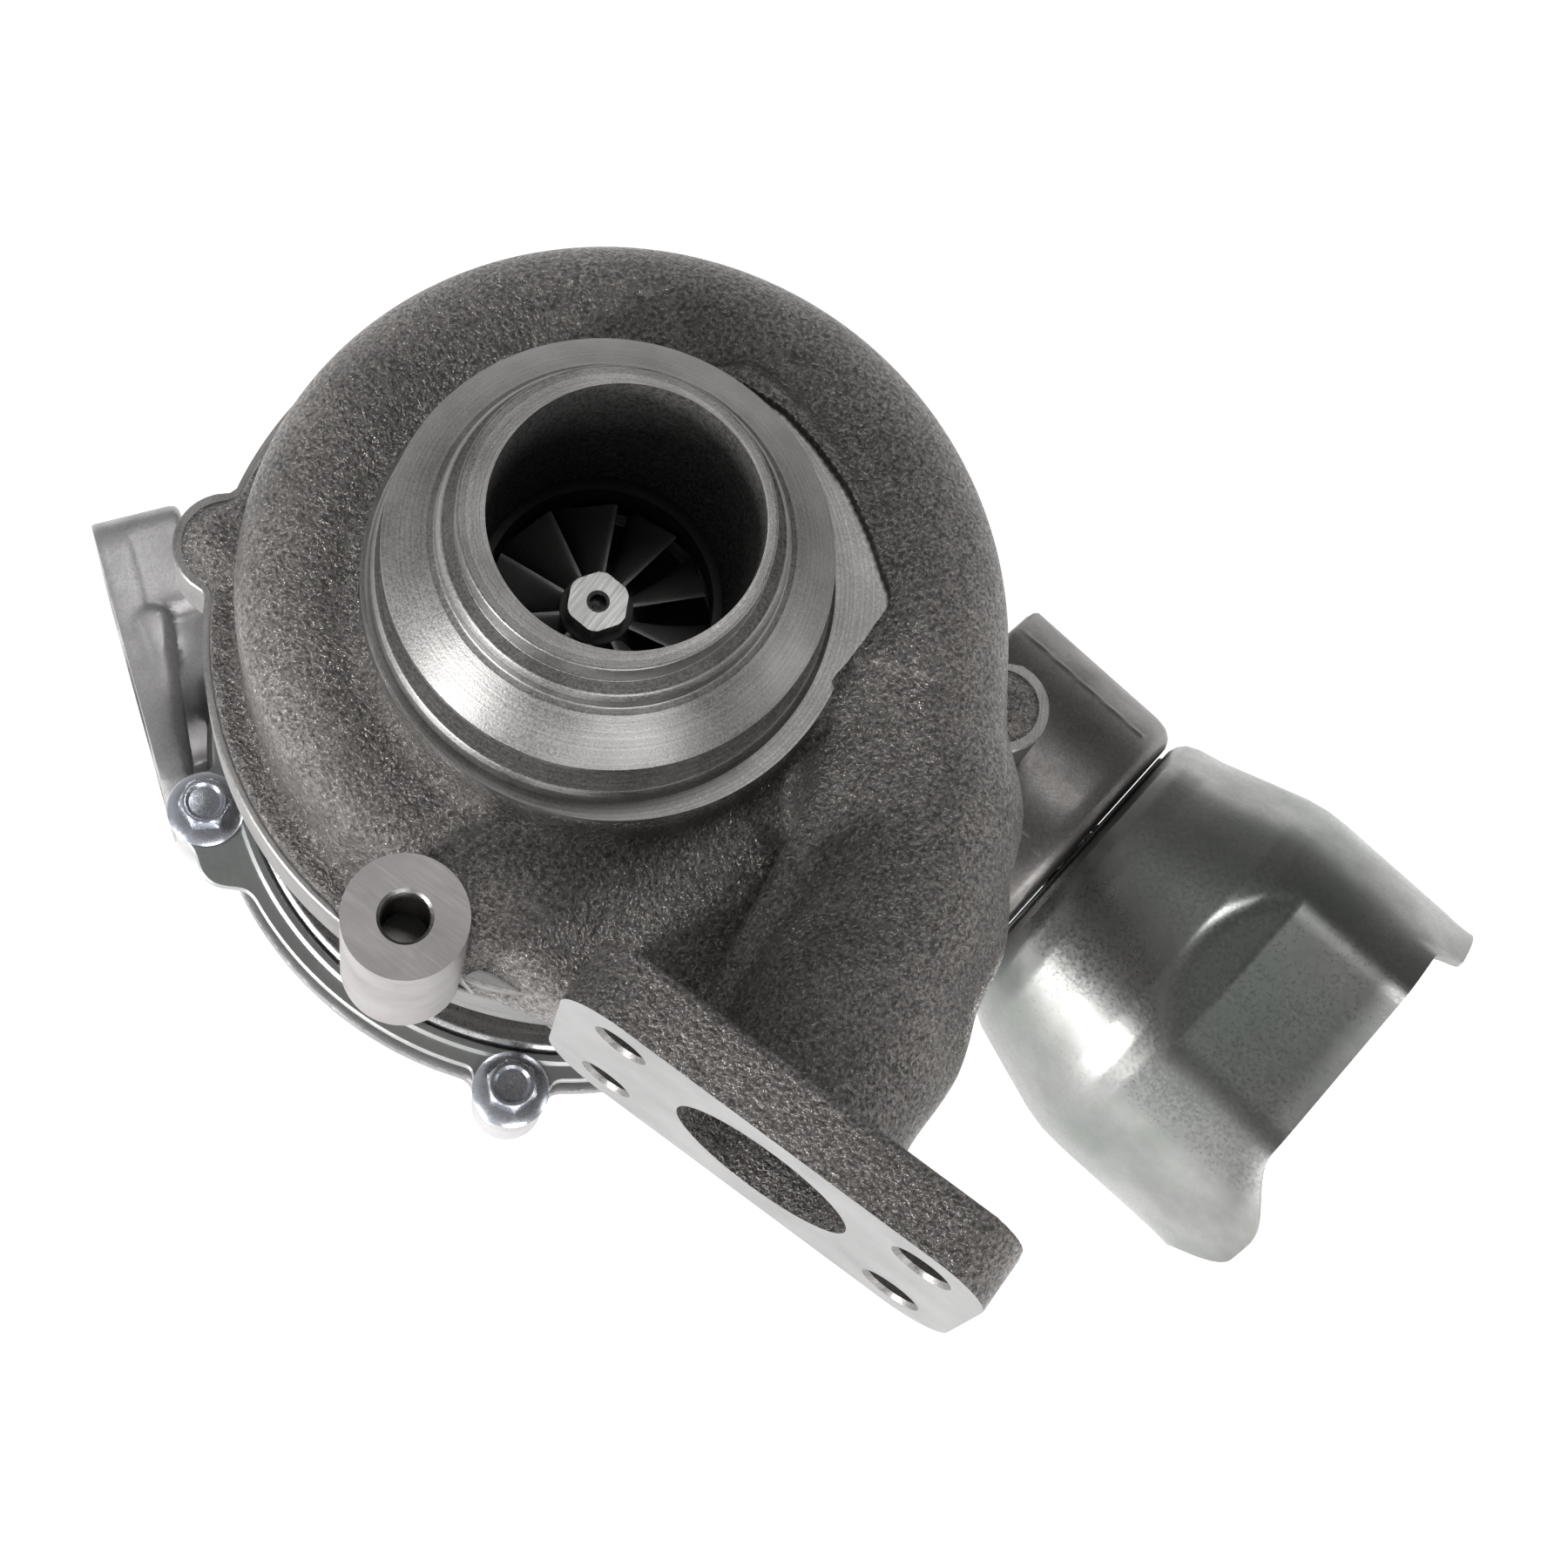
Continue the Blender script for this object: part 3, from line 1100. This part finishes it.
def rotor(look):
    axis = Vector((0.0, 0.0, 0.0))
    hub = [(0.0, 42.9), (4.6, 42.9, 0.5), (5.9, 43.9, 0.8), (6.0, 46.0, 2), (7.0, 50.0, 3), (9.6, 54.0, 3),
           (13.6, 57.2, 3), (18.6, 59.4, 1), (20.4, 59.8), (20.4, 60.8), (7.0, 61.8), (6.4, 62.4),
           (6.4, 63.9), (5.0, 63.9), (5.0, 65.5), (6.4, 65.5), (6.4, 66.5), (4.0, 67.0),
           (4.0, 112.0), (3.0, 113.0), (3.0, 153.0), (0.0, 153.0)]
    stations = ((44.4, 5.0, 42.6, 17.3, 0.0), (46.6, 5.6, 44.6, 17.4, 11.0), (49.5, 6.4, 47.0, 18.2, 20.0),
                (54.5, 9.8, 49.0, 19.6, 26.0), (59.0, 16.5, 50.4, 20.5, 28.0), (60.2, 19.6, 59.0, 20.5, 28.0))
    sets = [dict(count=10, stations=stations, thick=1.0, phase=8.0)]
    levels = [(NOSE_R - 0.38, NOSE), (NOSE_R - 0.22, NOSE + 0.14), (NOSE_R, NOSE + 0.3), (NOSE_R, 43.6)]
    centre_mark = rod((0, 0, height(NOSE + 0.5)), (0, 0, height(NOSE - 0.1)), 1.3, 32, 1.95)
    extra = [("+", hexagon(levels, NOSE_R * cos(radians(30)), 3.0), look["nose"]),
             ("-", upright_rod(axis, NOSE + 2.2, NOSE - 1.0, 1.35), look["cast_inside"]),
             ("-", centre_mark, look["nose"])]
    carved_wheel("turbine_wheel_cast", hub, sets, look["wheel"], "turbine_wheel_and_shaft", extra)

    back = [(3.3, 118.0), (8.0, 118.0), (9.0, 119.5), (20.0, 120.4), (22.4, 120.4), (22.4, 121.1),
            (17.0, 122.2, 2), (12.0, 125.0, 3), (8.6, 130.0, 3), (6.8, 138.0, 3), (6.2, 144.0), (3.3, 144.0)]
    long_blades = ((121.0, 21.0, 123.2, 22.3, 0.0), (123.6, 14.5, 125.4, 20.4, 8.0),
                   (128.0, 9.4, 129.4, 18.0, 20.0), (134.0, 7.3, 134.0, 16.9, 36.0),
                   (141.0, 6.3, 141.0, 16.6, 58.0))
    sets = [dict(count=6, stations=long_blades, thick=0.75),
            dict(count=6, stations=long_blades[:4], thick=0.75, phase=30.0)]
    carved_wheel("compressor_wheel_milled", back, sets, look["milled"], "compressor_wheel")

    nut = hexagon([(5.2, 144.3), (5.2, 149.3), (4.9, 149.75), (4.45, 150.0)], NUT_HALF_WIDTH)
    thread = [("-", upright_rod(axis, 155, 140, 3.3, 40), look["steel"])]
    name = "compressor_nut_turned"
    carve(name, to_mesh(name, nut, look["steel"]), thread, "compressor_nut", ROTOR)


def nozzle_insert(look):
    turned("nozzle_insert_turned", [
        (17.9, 38.0, 0.25), (17.9, 43.5), (18.4, 46.2), (19.4, 48.3), (21.2, 50.0), (36.8, 50.0),
        (36.8, 45.6), (20.1, 45.6), (20.1, 38.0, 0.25)], look["hot"], "nozzle_insert")


# ---------------- actuator, its mount and its shield

ACTUATOR_MIDDLE = 16.7   # from the mount's end to the middle of the diaphragm
ACTUATOR_STUDS = (-16.0, 16.0)   # how far the two studs sit above the line


class Actuator:
    """The actuator's line, from the rod's slide, and distances along it from the mount's end."""

    def __init__(self):
        self.axis = Vector(JOINTS["rod_slide"]["axis"]).normalized()
        self.depth = depth_of(centre_of("actuator_rod").z)
        middle = centre_of("actuator_diaphragm")
        self.start = Vector((middle.x, middle.y, 0.0)) - self.axis * ACTUATOR_MIDDLE
        self.square = Vector((-self.axis.y, self.axis.x, 0.0))

    def at(self, along, up=0.0, side=0.0):
        """A point in millimetres about the shaft, with its real height."""
        place = self.start + self.axis * along + self.square * side
        return Vector((place.x, place.y, height(self.depth) + up))

    def point(self):
        return self.start.x, self.start.y, self.depth


FOOT_TOP, FOOT_BOTTOM = 111.9, 116.5   # the mount's foot, under two of the compressor's bolts
TUBE_R, TUBE_BORE, SEAM = 28.6, 25.2, 0.28


def actuator_mount(look):
    line = Actuator()
    block = Block.around("actuator_mount", 0.6, 0.8)
    point, axis = line.point(), (line.axis.x, line.axis.y, 0.0)
    bolts = [centre_of(f"compressor_bolt_{i}") for i in (3, 4)]
    top, bottom = FOOT_TOP, min(depth_of(cad("actuator_mount")[0].z), FOOT_BOTTOM)
    turn = (block.turn + 180) % 360 - 180
    layer = np.abs(block.d - (top + bottom) / 2) - (bottom - top) / 2
    tube = block.turned([(0.0, -33.0), (28.0, -33.0), (TUBE_R, -32.4), (TUBE_R, -4.0), (28.2, -1.8),
                         (27.2, -0.3), (25.6, 0.5), (0.0, 0.5)], point, axis)
    foot = np.maximum(np.maximum(block.rho - 71.5, 59.7 - block.rho), layer)
    foot = np.maximum(foot, np.maximum(-2.0 - turn, turn - 70.0) * 1.1)
    for at in bolts:
        foot = join(foot, block.upright(at.x, at.y, 7.2, top, bottom, 0.8), 2.0)
    web = np.maximum(np.maximum(block.rho - 80.0, 69.5 - block.rho), layer)
    web = np.maximum(web, np.maximum(14.0 - turn, turn - 38.0) * 1.3)
    tube = take(tube, block.turned([(0.0, 112.0), (74.5, 112.0), (74.5, 150.0), (0.0, 150.0)]), 1.0)
    body = join(tube, join(foot, web, 2.0), 3.0)
    for angle in (38.0, -24.0):
        a, reach = radians(angle), TUBE_R - 0.05
        ends = [line.at(along, reach * cos(a), reach * sin(a)) for along in (-31.0, -4.0)]
        seam = [(p.x, p.y, depth_of(p.z)) for p in ends]
        body = join(body, block.tube(*seam, SEAM, SEAM), 0.3)
    for radius, start, end, edge in ((TUBE_BORE, -40.0, -3.0, 0.8), (5.0, -6.0, 4.0, 0.3)):
        bore = block.turned([(0.0, start), (radius, start), (radius, end), (0.0, end)], point, axis)
        body = take(body, bore, edge)
    mesh = block.mesh("actuator_mount_skin", body)
    mesh.materials.append(look["tube"])
    steps = [("-", upright_rod(at, 125, 100, BOLT_HOLE_R), look["turned"]) for at in bolts]
    for up in ACTUATOR_STUDS:
        steps.append(("-", rod(line.at(-6.0, up), line.at(6.0, up), 2.7, 24), look["turned"]))
    carve("actuator_mount_casting", mesh, steps, "actuator_mount", sharp=36.0)


CAN_PROFILE = ((1.2, 25.6), (1.6, 26.9), (2.8, 28.6), (5.0, 30.0), (9.0, 31.6), (17.0, 34.3), (25.0, 36.9),
               (29.0, 37.75), (33.0, 38.0), (56.0, 38.0), (61.0, 37.8), (72.0, 37.6))
CAN_SHIFT, CAN_SHIFT_TURN = 1.4, -108.0
PANEL_TURN, PANEL_DISTANCE, PANEL_SLOPE, PANEL_CREASE = -10.0, 34.1, 0.36, 34.5


def soft_min(a, b, blend):
    mix = np.clip(0.5 + 0.5 * (b - a) / blend, 0, 1)
    return b * (1 - mix) + a * mix - blend * mix * (1 - mix)


def can_radius(along, turn):
    """The shield's outer radius: a flared drum with one flat panel pressed into it."""
    stations, radii = zip(*CAN_PROFILE)
    base = np.interp(along, stations, radii)
    off = np.radians(turn - PANEL_TURN)
    panel = PANEL_DISTANCE + PANEL_SLOPE * np.maximum(PANEL_CREASE - along, 0)
    facing = np.cos(off)
    flat = np.where(facing > 0.4, panel / np.maximum(facing, 0.4), 99.0)
    return soft_min(base, flat, 1.2)


def can_end(turn):
    """How far the shield's open end reaches, with its two turned-out ears."""
    def ear(middle, half, soft):
        gap = np.abs((turn - middle + 180) % 360 - 180) - half
        return np.clip(0.5 - gap / soft, 0, 1)

    def smooth(t):
        return t * t * (3 - 2 * t)

    end = 58.2 - 0.7 * np.sin(np.radians(turn + 18))
    return end + 4.6 * smooth(ear(62.0, 25.5, 7.0)) + 8.0 * smooth(ear(-69.0, 18.0, 26.0))


def heat_shield(look):
    line = Actuator()
    columns, rows, thick = 288, 110, 1.2
    turn = np.linspace(0, 360, columns, endpoint=False)
    start, end = CAN_PROFILE[0][0], can_end(turn)
    shift = Vector((sin(radians(CAN_SHIFT_TURN)), cos(radians(CAN_SHIFT_TURN)))) * CAN_SHIFT

    def ring(part, wall):
        """The points around the shield at part of its length, that far inside its outer skin."""
        along = start + (end - start) * part
        flare = np.clip((along - (end - 5.0)) / 5.0, 0, 1) ** 2
        radius = can_radius(along, turn) - wall + flare * 0.4
        ease = min(max((along.mean() - start) / 8.0, 0.0), 1.0)
        up = radius * np.cos(np.radians(turn)) + shift.y * ease
        side = radius * np.sin(np.radians(turn)) + shift.x * ease
        return [line.at(*place) for place in zip(along.tolist(), up.tolist(), side.tolist())]

    parts = [j / rows for j in range(rows + 1)]
    bm = bmesh.new()
    loft(bm, [ring(t, 0.0) for t in parts] + [ring(t, thick) for t in reversed(parts)], loop=True)
    piece("actuator_heat_shield_pressed", bm, look["can"], "actuator_heat_shield", 13.0)


def actuator(look):
    line = Actuator()

    def spun(profile, round_by):
        """A (radius, along) profile spun about the actuator's line."""
        return ring_mesh(rounded(profile, round_by), 96, line.at(0.0), line.axis)

    base = spun([(4.2, 0.7), (23.6, 0.7), (24.6, 2.6, 1), (28.4, 14.0, 2), (30.2, 24.0), (33.0, 24.0),
                 (33.0, 25.5), (28.8, 25.5), (27.0, 14.6, 2), (22.8, 3.8, 2), (20.0, 2.4), (4.2, 2.4)], 0.6)
    studs = [("+", rod(line.at(-10.0, up), line.at(1.8, up), 2.3, 32), look["bolt"]) for up in ACTUATOR_STUDS]
    name = "actuator_base_pressed"
    carve(name, to_mesh(name, base, look["ring"]), studs, "actuator_base")
    cap = spun([(33.0, 27.2), (30.0, 38.0, 2), (26.0, 45.0, 2), (18.0, 46.5, 2), (5.0, 46.5, 1), (3.4, 56.0),
                (1.6, 56.0), (1.6, 45.0), (17.0, 45.0), (25.0, 43.6), (28.6, 37.2), (29.4, 26.0),
                (33.0, 25.9)], 0.5)
    piece("actuator_cap_pressed", cap, look["ring"], "actuator_cap")
    coil_spring(line, look["steel"])


def coil_spring(line, material):
    """The actuator's return spring, between the diaphragm's cup and the cap. The rod squeezes it."""
    start, end, radius, wire, turns, per_turn, sides = 23.1, 40.9, 13.6, 1.1, 4, 36, 12
    rings = []
    for k in range(turns * per_turn + 1):
        turn = 2 * pi * k / per_turn
        outward = line.square * cos(turn) + Vector((0.0, 0.0, sin(turn)))
        centre = line.at(start + (end - start) * k / (turns * per_turn)) + outward * radius
        around = [2 * pi * i / sides for i in range(sides)]
        rings.append([centre + outward * (wire * cos(a)) + line.axis * (wire * sin(a)) for a in around])
    bm = bmesh.new()
    loft(bm, rings)
    spring = piece("actuator_spring_coil", bm, material, "actuator_spring")
    fixed = line.at(end + wire)
    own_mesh(spring)


# ---------------- stage, light and camera

FLOOR_SIZE, FLOOR_GAP, FLOOR_GLOW = 3000.0, 0.0004, 0.66


def stage():
    n = Nodes("pale_floor", 0.9, 0.0, (0.93, 0.93, 0.93))
    n.colour(n.ramp(n.noise(0.004, 2.0), ((0.3, (0.92, 0.92, 0.92)), (0.7, (0.95, 0.95, 0.95)))))
    n.shader.inputs["Emission Color"].default_value = (1.0, 1.0, 1.0, 1.0)
    n.shader.inputs["Emission Strength"].default_value = FLOOR_GLOW
    bm = bmesh.new()
    bmesh.ops.create_grid(bm, x_segments=1, y_segments=1, size=FLOOR_SIZE)
    thing = add_object("floor", to_mesh("floor", bm, n.material))
    thing.location.z = cad_box[0].z - FLOOR_GAP


def softbox(name, place, target, size, power, size_y=None):
    data = bpy.data.lights.new(name, "AREA")
    data.shape = "RECTANGLE"
    data.size = size
    data.size_y = size_y or size
    data.energy = power
    light = add_object(name, data)
    light.location = place
    light.rotation_mode = "QUATERNION"
    light.rotation_quaternion = (target - place).to_track_quat("-Z", "Y")


DARK_SIDE = (0.224, 0.529, 0.818)   # the studio is darkest this way, over the far corner


def lights():
    world = bpy.data.worlds.new("studio")
    world.use_nodes = True
    tree = world.node_tree
    place, split = tree.nodes.new("ShaderNodeTexCoord"), tree.nodes.new("ShaderNodeVectorMath")
    split.operation = "DOT_PRODUCT"
    split.inputs[1].default_value = DARK_SIDE
    ramp = tree.nodes.new("ShaderNodeValToRGB")
    tree.links.new(place.outputs["Generated"], split.inputs[0])
    tree.links.new(split.outputs["Value"], ramp.inputs["Fac"])
    tree.links.new(ramp.outputs["Color"], tree.nodes["Background"].inputs["Color"])
    for element, (at, value) in zip(ramp.color_ramp.elements, ((0.0, 0.5), (0.85, 0.13))):
        element.position = at
        element.color = (value, value, value, 1.0)
    tree.nodes["Background"].inputs["Strength"].default_value = 1.0
    bpy.context.scene.world = world
    bpy.context.scene.view_settings.view_transform = "Standard"
    middle = SHAFT + Vector((0.0, 0.0, 0.12))
    right, up, back = camera_axes()
    softbox("key", middle - right * 1.0 - up * 0.6 + back * 0.5, middle, 0.2, 13.0)
    softbox("near", middle + (right * 0.2 - up * 0.8 + back * 0.5) * 1.3, middle, 0.7, 6.0, 0.4)
    softbox("right", middle + right * 1.25 - up * 0.3 + back * 0.25, middle, 0.5, 2.0)
    softbox("top", middle + (right * 0.24 + up * 0.49 + back * 0.83) * 1.3, middle, 0.35, 3.2)


BACK = Vector((0.0521, -0.2827, 0.9578)).normalized()   # from the object towards the camera
ROLL_UP = Vector((-0.5902, 0.7649, 0.2579))             # up in the picture
CAMERA_FROM_RIM = Vector((67.2, -150.2, 447.9)) * MM
LENS, SENSOR = 75.05, 36.0


def camera_axes():
    right = ROLL_UP.cross(BACK).normalized()
    return right, BACK.cross(right), BACK


def camera():
    data = bpy.data.cameras.new("camera")
    data.lens, data.sensor_width = LENS, SENSOR
    data.clip_start, data.clip_end = 0.01, 20.0
    thing = add_object("camera", data)
    right, up, back = camera_axes()
    turn = Matrix((right, up, back)).transposed().to_4x4()
    thing.matrix_world = Matrix.Translation(SHAFT + Vector((0, 0, RIM * MM)) + CAMERA_FROM_RIM) @ turn
    bpy.context.scene.camera = thing


# ---------------- everything

def dress_cad_nodes(look):
    """CAD nodes that stay get a material of their own."""
    by_slot = {"cast_iron": "cast", "steel": "steel", "zinc_plate": "ring", "bright_zinc": "bolt",
               "cast_aluminium": "aluminium", "bronze": "bronze", "copper": "copper", "rubber": "rubber"}
    for row in frame["record"]["subparts"]:
        node = frame["nodes"][row["node"]]
        node.data.materials.clear()
        hot = row["node"].startswith(("nozzle", "vane", "unison"))
        node.data.materials.append(look["hot" if hot else by_slot[row["material_slot"]]])


def main():
    look = make_materials()
    dress_cad_nodes(look)
    camera()
    lights()
    stage()
    turbine_housing(look)
    compressor_housing(look)
    clamp_ring(look)
    backplate(look)
    for index in range(6):
        bolt(f"compressor_bolt_{index + 1}", look, 1)
    for index in range(4):
        bolt(f"turbine_bolt_{index + 1}", look, -1)
    centre_housing(look)
    rotor(look)
    nozzle_insert(look)
    actuator_mount(look)
    heat_shield(look)
    actuator(look)


main()
